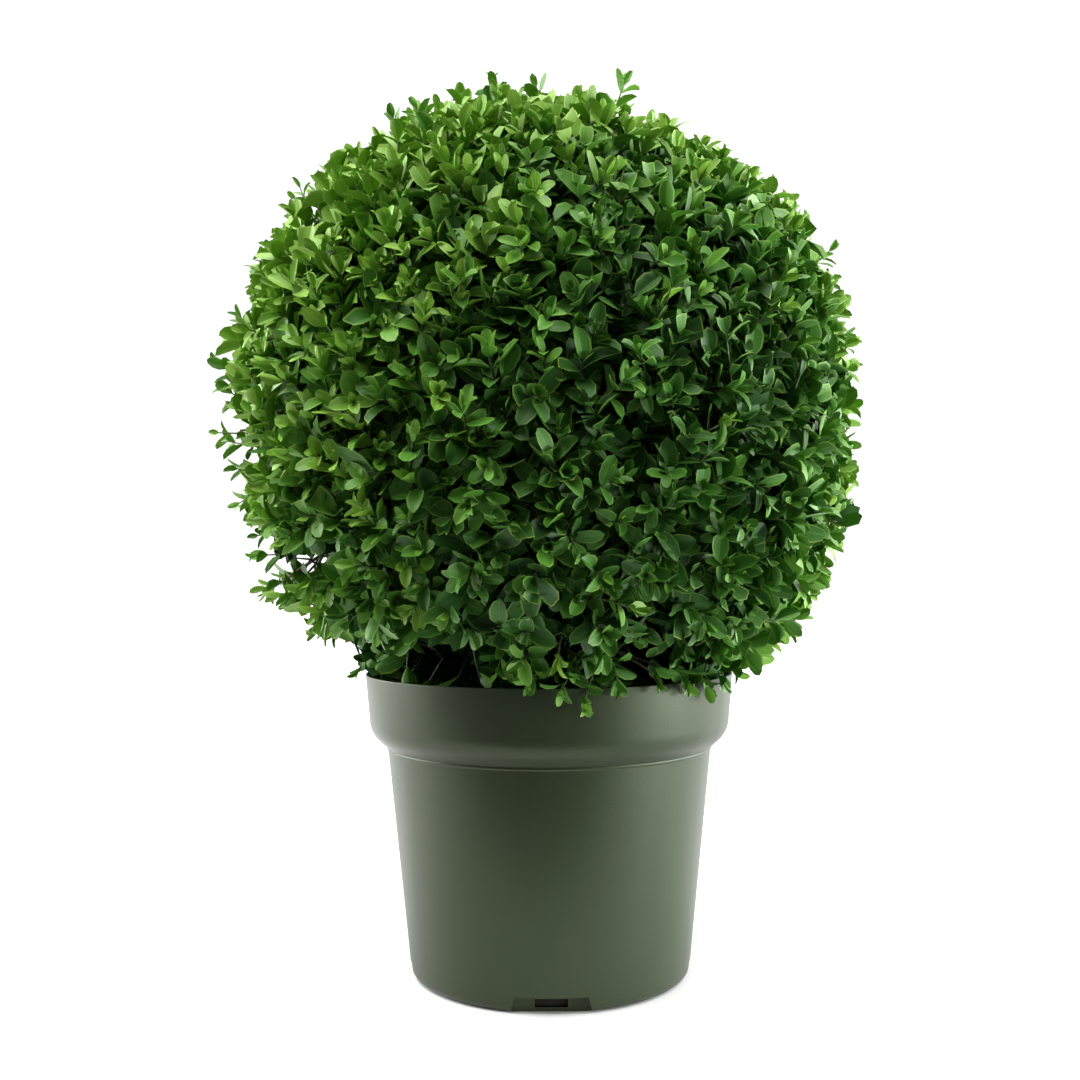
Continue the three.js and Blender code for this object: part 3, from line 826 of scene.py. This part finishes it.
# How far each pair is grown, down from the tip.
CLIPPED_PAIRS, YOUNG_PAIRS, PLAIN_PAIRS = (0.9, 1.0, 1.0, 0.95), (0.6, 0.85, 1.0, 1.0), (0.55, 0.8, 0.95, 1.0)
OLD_LEAVES_AT = (0.98, 0.86, 0.74, 0.6, 0.44)  # shares of a fine twig
OLD_LEAF_ROUNDS = 5  # on each branch
TWIG_SIDES, TWIG_STEPS = 4, 5
SHOOT_RADII = (0.95, 0.85, 0.78, 0.7, 0.42)
STRAY_RADII = (1.1, 0.95, 0.8, 0.6, 0.4)
LOOSE_RADII = (1.1, 0.95, 0.8, 0.65, 0.4)
UPTURN = 0.65  # of the shoots, down to a little under the middle
# Ways towards which the leaf tone gets painted light (low left, high left) or painted shade (low right, against the low
# fill light).
LOW_RIGHT, LOW_LEFT, HIGH_LEFT = (
    unit(np.array(v)) for v in ((0.7, -0.6, -0.4), (-0.7, -0.5, -0.5), (-0.6, -0.55, 0.6))
)
OPEN_SIDE = direction(pi, radians(-22))


def leaf_tone_with_painted_light(way, draw):
    """The tone of a shoot's leaves, an index into BLADES. A little of it is the leaves' own colour: young growth, more
    of it near the top, and a random spread. Most of it is painted light and shade: lightest at the top and the upper
    left as painted key light, painted rim light round the rims, more on the right, and painted shade underneath,
    darkest low on the right."""
    top = max(0, way[2]) ** 1.4
    rim = max(0, 1 - abs(way[1]) * 1.3)
    left = max(0, 0.5 * way[2] - 0.75 * way[0])
    low_right, low_left, high_left = (max(0, np.dot(way, v)) for v in (LOW_RIGHT, LOW_LEFT, HIGH_LEFT))
    base = (
        2.5 + 1.6 * top + (2.1 + 1.3 * max(0, way[0])) * rim + 2.3 * left + 1.2 * low_left**3 + 1.2 * high_left**4
        - 0.8 * max(0, -way[2]) - 0.9 * low_right**2
    )
    return base + (1.6 if draw() < 0.10 + 0.2 * top else 0) + (draw() - 0.5) * 1.3


def looseness(way):
    """1 where the ball is open, low on the left, falling to 0 round about."""
    return clamp((np.dot(way, OPEN_SIDE) - 0.8) / 0.12)


class Crown:
    """The crown as it grows: its leaves and its fine twigs' paths and radii."""

    def __init__(self, twigs):
        self.mains = [twig for twig in twigs if "stray" not in twig]
        self.strays = [twig for twig in twigs if "stray" in twig]
        self.ways = np.array([twig["way"] for twig in self.mains])
        self.draw = seeded(23)
        self.leaves, self.paths, self.radii = [], [], []

    def main_twig(self, way):
        """The main twig whose way is nearest to this one."""
        return self.mains[int(np.argmax(self.ways @ way))]

    def add_twig(self, path, radii):
        self.paths.append(path)
        self.radii.append(radii)

    def add_leaf(self, *form, **habit):
        leaf = grown_leaf(*form, self.draw, **habit)
        if leaf:
            self.leaves.append(leaf)

    def spray(self, tip, axis, tone, size, pairs, internode, limit=None, grown=PLAIN_PAIRS, free=False):
        """The leaves of one shoot, in pairs that cross each other, down from its tip. Returns its leafy length."""
        draw = self.draw
        first = turned(across_of(axis), axis, draw() * 2 * pi)
        back = 0.4
        for k in range(pairs):
            share = grown[min(k, len(grown) - 1)]
            for hand in (0, 1):
                out = turned(first, axis, (k % 2) * pi / 2 + hand * pi + (draw() - 0.5) * 0.6)
                shade = tone + 0.9 - 0.5 * k + (draw() - 0.5) * 1.1
                splay = SPLAYS[k] + (draw() - 0.5) * 26
                length = size * share * (0.85 + 0.3 * draw())
                self.add_leaf(tip - axis * back + out * 0.3, axis, out, splay, length, shade, limit=limit, free=free)
            back += internode * (0.8 + 0.4 * draw()) * (0.7 if k == 0 else 1)
        return back

    def old_leaves(self, path, painted_light_lift, free=False):
        """The plain dark leaves further in along a fine twig; the lift makes them paler, as painted light where the
        crown is lit.
        """
        draw = self.draw
        for step in OLD_LEAVES_AT:
            at = step * (len(path) - 1)
            k = min(int(at), len(path) - 2)
            axis = unit(path[k + 1] - path[k])
            root = path[k] + (path[k + 1] - path[k]) * (at - k)
            out = turned(across_of(axis), axis, draw() * 2 * pi)
            for hand in (1, -1):
                if hand < 0 and draw() < 0.4:
                    continue
                length = 15 + 5 * draw()
                splay, tone = 60 + 25 * draw(), 0.4 + 1.8 * draw() + painted_light_lift
                self.add_leaf(root, axis, out * hand, splay, length, tone, kind="old", free=free)

    def grow_shoots(self):
        """The leafy shoots, on a finer golden spiral, each on a fine twig from the nearest main twig."""
        draw = self.draw
        for i in range(SHOOTS):
            way = spiral_way(i, SHOOTS, LOWEST_TWIG - 10, SHOOT_JITTER, draw)
            loose = looseness(way)
            skip, sunk, habit, many = draw(), draw(), draw(), draw()
            tilt = scatter(draw)
            # the shoot's tone, with painted light and shade by where it faces
            tone = leaf_tone_with_painted_light(way, draw)
            size = 16 + 7.5 * draw()
            if skip < 0.4 * loose:
                continue
            lift = UPTURN * clamp(1 + (way[2] + 0.3) / 0.4)
            axis = unit(way + UP * lift + tilt * (1.35 + 0.4 * loose))
            pairs, internode, limit = (4 if many < 0.45 else 5), 4.4 + size * 0.05, 0.965 + 0.05 * sunk * many
            if habit < 0.24 + 0.15 * way[2]:  # clipped off at the outline
                reach, grown = outline(way) * (limit - 0.03 * sunk), CLIPPED_PAIRS
            elif habit < 0.56:  # young growth since the clipping
                reach, grown = outline(way) * (0.96 + 0.03 * sunk), YOUNG_PAIRS
                size, tone, limit = 14 + 5 * many, tone + 1.3, 1.04
            else:
                reach, grown = outline(way) * (0.96 - 0.09 * sunk**1.4), PLAIN_PAIRS
            reach *= 1 - (0.03 + 0.06 * many) * loose
            tip = BALL_CENTRE + way * reach
            if not clear_of_pot(tip - UP * 4) or under_skirt(tip) or in_gap(tip, room=6):
                continue
            leafy = tip - axis * self.spray(tip, axis, tone, size, pairs, internode, limit, grown)
            main = self.main_twig(way)
            start = main["root"] + (main["tip"] - main["root"]) * (0.1 + 0.5 * many)
            span = np.linalg.norm(leafy - start)
            control = (start, start + main["way"] * 0.35 * span, leafy - axis * 0.3 * span, leafy)
            fine = bezier(control, TWIG_STEPS - 1)
            self.add_twig(np.vstack([fine, tip]), SHOOT_RADII)
            # inner leaves paler under the lighter shoots: painted light
            self.old_leaves(fine, 0.5 * max(0, tone - 2.8))

    def grow_strays(self):
        """The source's stray shoots, with fine leaves."""
        for twig in self.strays:
            way, root = twig["way"], twig["root"]
            axis = unit(way + UP * 0.25 * (1 if way[2] > -0.3 else -0.3))
            tip = BALL_CENTRE + way * (twig["reach"] - 6)
            # the tone carries painted light and shade by where the stray faces
            tone, size = leaf_tone_with_painted_light(way, self.draw) + 1.2, 13 + 3 * self.draw()
            self.spray(tip, axis, tone, size, pairs=3, internode=9.5, free=True)
            self.add_twig(bezier((root, root + way * 20, tip - axis * 18, tip), TWIG_STEPS), STRAY_RADII)

    def grow_loose(self):
        """The shoots that stand out past the outline."""
        draw = self.draw
        for azimuth, elevation, reach in LOOSE:
            way = direction(radians(azimuth), radians(elevation))
            tip = BALL_CENTRE + way * (reach - 8)
            axis = unit(way + UP * 0.3 + scatter(draw) * 0.8)
            tone, size = 3.6 + 1.5 * draw(), 14 + 4 * draw()
            low = tip - axis * self.spray(tip, axis, tone, size, pairs=4, internode=8.5, free=True)
            start = self.main_twig(way)["root"]
            stalk = bezier((start, start + way * 25, low - axis * 8, low), TWIG_STEPS - 1)
            self.add_twig(np.vstack([stalk, tip]), LOOSE_RADII)

    def grow_underside(self):
        """Short shaded twigs over the pot's mouth, from the lowest branches."""
        for i in range(LOW_TWIGS):
            out = direction(i * GOLDEN_TURN, 0)
            tip = out * (40 + 68 * sqrt((i + 0.5) / LOW_TWIGS)) + UP * (POT_HEIGHT - 6 + 26 * self.draw())
            start = self.main_twig(unit(tip - BALL_CENTRE))["root"]
            path = bezier((start, start + (tip - start) * 0.4 + UP * 6, tip + UP * 14 - out * 6, tip), TWIG_STEPS)
            if any(in_gap(point, room=3) for point in path[1:]):
                continue
            for _ in range(2):
                self.old_leaves(path, 0, free=True)
            self.add_twig(path, LOOSE_RADII)

    def grow_hanging(self):
        """The shoots that hang over the pot's rim."""
        draw = self.draw
        for azimuth, height, radius in HANGING:
            out = direction(radians(azimuth), 0)
            tip = np.array([radius * out[0], radius * out[1], height])
            axis = unit(out * 0.5 - UP * 0.8 + np.array([draw() - 0.5, draw() - 0.5, 0]) * 0.5)
            tone, size = 2.9 + 1.6 * draw(), 15 + 3 * draw()
            self.spray(tip, axis, tone, size, pairs=4, internode=6.0, free=True)
            start = self.main_twig(unit(tip - BALL_CENTRE))["tip"] - out * 12
            high = start + (tip - start) * 0.5 + out * 5
            self.add_twig(bezier((start, high, tip - axis * 10, tip), TWIG_STEPS), STRAY_RADII)

    def grow_inside(self, branches):
        """More old leaves along the branches, on the half next to each main twig's root, paler high in the crown as
        painted light.
        """
        self.draw = seeded(71)
        for twig, branch in zip(self.mains, branches):  # the strays' branches come last
            for _ in range(OLD_LEAF_ROUNDS):
                # paler the more the twig points up: painted light from above
                self.old_leaves(branch[BRANCH_STEPS // 2 : BRANCH_STEPS], 1.2 * max(0, twig["way"][2]))


def make_twigs(paths, radii):
    """The fine twigs: green in their last stretch and at both ends, brown in between."""
    verts, faces = tubes(paths, radii, TWIG_SIDES)
    sides = [0] * TWIG_SIDES * (TWIG_STEPS - 2) + [1] * TWIG_SIDES
    surfaces = sides * len(paths) + [1, 1] * len(paths)
    new_piece("twigs", verts, faces, [twig_brown, twig_green], "bark", ["foliage_ball"], surfaces)


def make_leaves(leaves):
    """Joins the leaves by place into pieces that stand for the clipped mass together."""
    order = sorted(leaves, key=lambda leaf: atan2(*(leaf["root"] - BALL_CENTRE)[:2]))
    for piece in range(LEAF_PIECES):
        part = order[piece * len(order) // LEAF_PIECES : (piece + 1) * len(order) // LEAF_PIECES]
        meshes, slots = [], []
        for kind in KINDS:
            chosen = [leaf for leaf in part if leaf["kind"] == kind]
            if chosen:
                verts, faces, more_slots = leaf_meshes(chosen, kind)
                meshes.append((verts, faces))
                slots += more_slots
        new_piece(f"leaves_{piece + 1}", *joined(meshes), leaf_materials, "leaves", ["foliage_ball"], slots)


def make_foliage():
    twigs = main_twigs()
    branches, radii = inner_branches(twigs)
    verts, faces = tubes(branches, radii, BRANCH_SIDES)
    new_piece("branches", verts, faces, [bark_material], "bark", ["foliage_ball"])
    crown = Crown(twigs)
    crown.grow_shoots()
    crown.grow_strays()
    crown.grow_loose()
    crown.grow_underside()
    crown.grow_hanging()
    crown.grow_inside(branches)
    make_twigs(crown.paths, crown.radii)
    make_leaves(crown.leaves)


make_pot()
make_compost()
make_limbs()
make_foliage()


# ---------- camera, floor and light ----------
SENSOR = 36
FOCAL = 1296 / 1080  # beside the picture's width
HORIZON = 22 / 1296  # how far the view looks up
ROLL = radians(-0.28)
GROUND_REACH, GROUND_FRONT = 9, -0.26  # metres


def place_camera():
    data = bpy.data.cameras.new("camera")
    data.sensor_width = SENSOR
    data.lens = FOCAL * SENSOR
    data.clip_start = 0.02
    camera = link_object("camera", data)
    camera.matrix_world = (
        Matrix.Translation(Vector(VIEWPOINT) * MM)
        @ Matrix.Rotation(pi / 2 + HORIZON, 4, "X")
        @ Matrix.Rotation(ROLL, 4, "Z")
    )
    bpy.context.scene.camera = camera


def lay_floor():
    reach, front = GROUND_REACH, GROUND_FRONT
    mesh = bpy.data.meshes.new("floor")
    mesh.from_pydata([(-reach, front, 0), (reach, front, 0), (reach, reach, 0), (-reach, reach, 0)], [], [[0, 1, 2, 3]])
    mesh.materials.append(material("floor_white", (0.72, 0.72, 0.72), 0.8))
    obj = link_object("floor", mesh)


def area_light(name, place, target, size, power, colour=(1, 1, 1)):
    data = bpy.data.lights.new(name, "AREA")
    data.shape = "RECTANGLE"
    data.size, data.size_y = size
    data.energy = power
    data.color = colour
    obj = link_object(name, data)
    obj.location = place
    obj.rotation_euler = (Vector(target) - Vector(place)).to_track_quat("-Z", "Y").to_euler()


def light_studio():
    """A white surround, bright behind the plant, dim in front and brightest above and at the sides; two soft boxes."""
    world = bpy.data.worlds.new("studio")
    bpy.context.scene.world = world
    world.use_nodes = True
    tree = world.node_tree
    place = tree.nodes.new("ShaderNodeTexCoord")
    split = tree.nodes.new("ShaderNodeSeparateXYZ")
    tree.links.new(place.outputs["Generated"], split.inputs[0])

    def step(value, start, end, low, high):
        return map_range(tree, value, start, end, low, high, "SMOOTHSTEP")

    def combine(operation, *values):
        node = tree.nodes.new("ShaderNodeMath")
        node.operation = operation
        for value, socket in zip(values, node.inputs):
            tree.links.new(value, socket)
        return node.outputs[0]

    x, y, z = split.outputs
    behind = step(y, start=-0.3, end=0.2, low=0.2, high=1.25)
    above = step(z, start=0.65, end=0.92, low=0, high=4.6)
    at_sides = step(combine("ABSOLUTE", x), start=0.55, end=0.9, low=0, high=12.0)
    not_above = step(z, start=0.5, end=0.75, low=1, high=0)
    not_in_front = step(y, start=-0.25, end=0.1, low=0, high=1)
    aside = combine("MULTIPLY", combine("MULTIPLY", at_sides, not_above), not_in_front)
    strength = combine("MAXIMUM", combine("MAXIMUM", behind, above), aside)
    tree.links.new(strength, tree.nodes["Background"].inputs["Strength"])
    tree.nodes["Background"].inputs["Color"].default_value = (1, 1, 1, 1)
    area_light(
        "key", place=(-0.75, -0.5, 1.65), target=(0, 0, 0.4), size=(0.7, 0.7), power=17, colour=(1, 0.98, 0.93)
    )
    area_light("low fill", place=(0.95, -0.42, 0.14), target=(0, 0, 0.09), size=(0.7, 0.22), power=12)
    bpy.context.scene.view_settings.view_transform = "Standard"
    bpy.context.scene.view_settings.look = "None"


place_camera()
lay_floor()
light_studio()
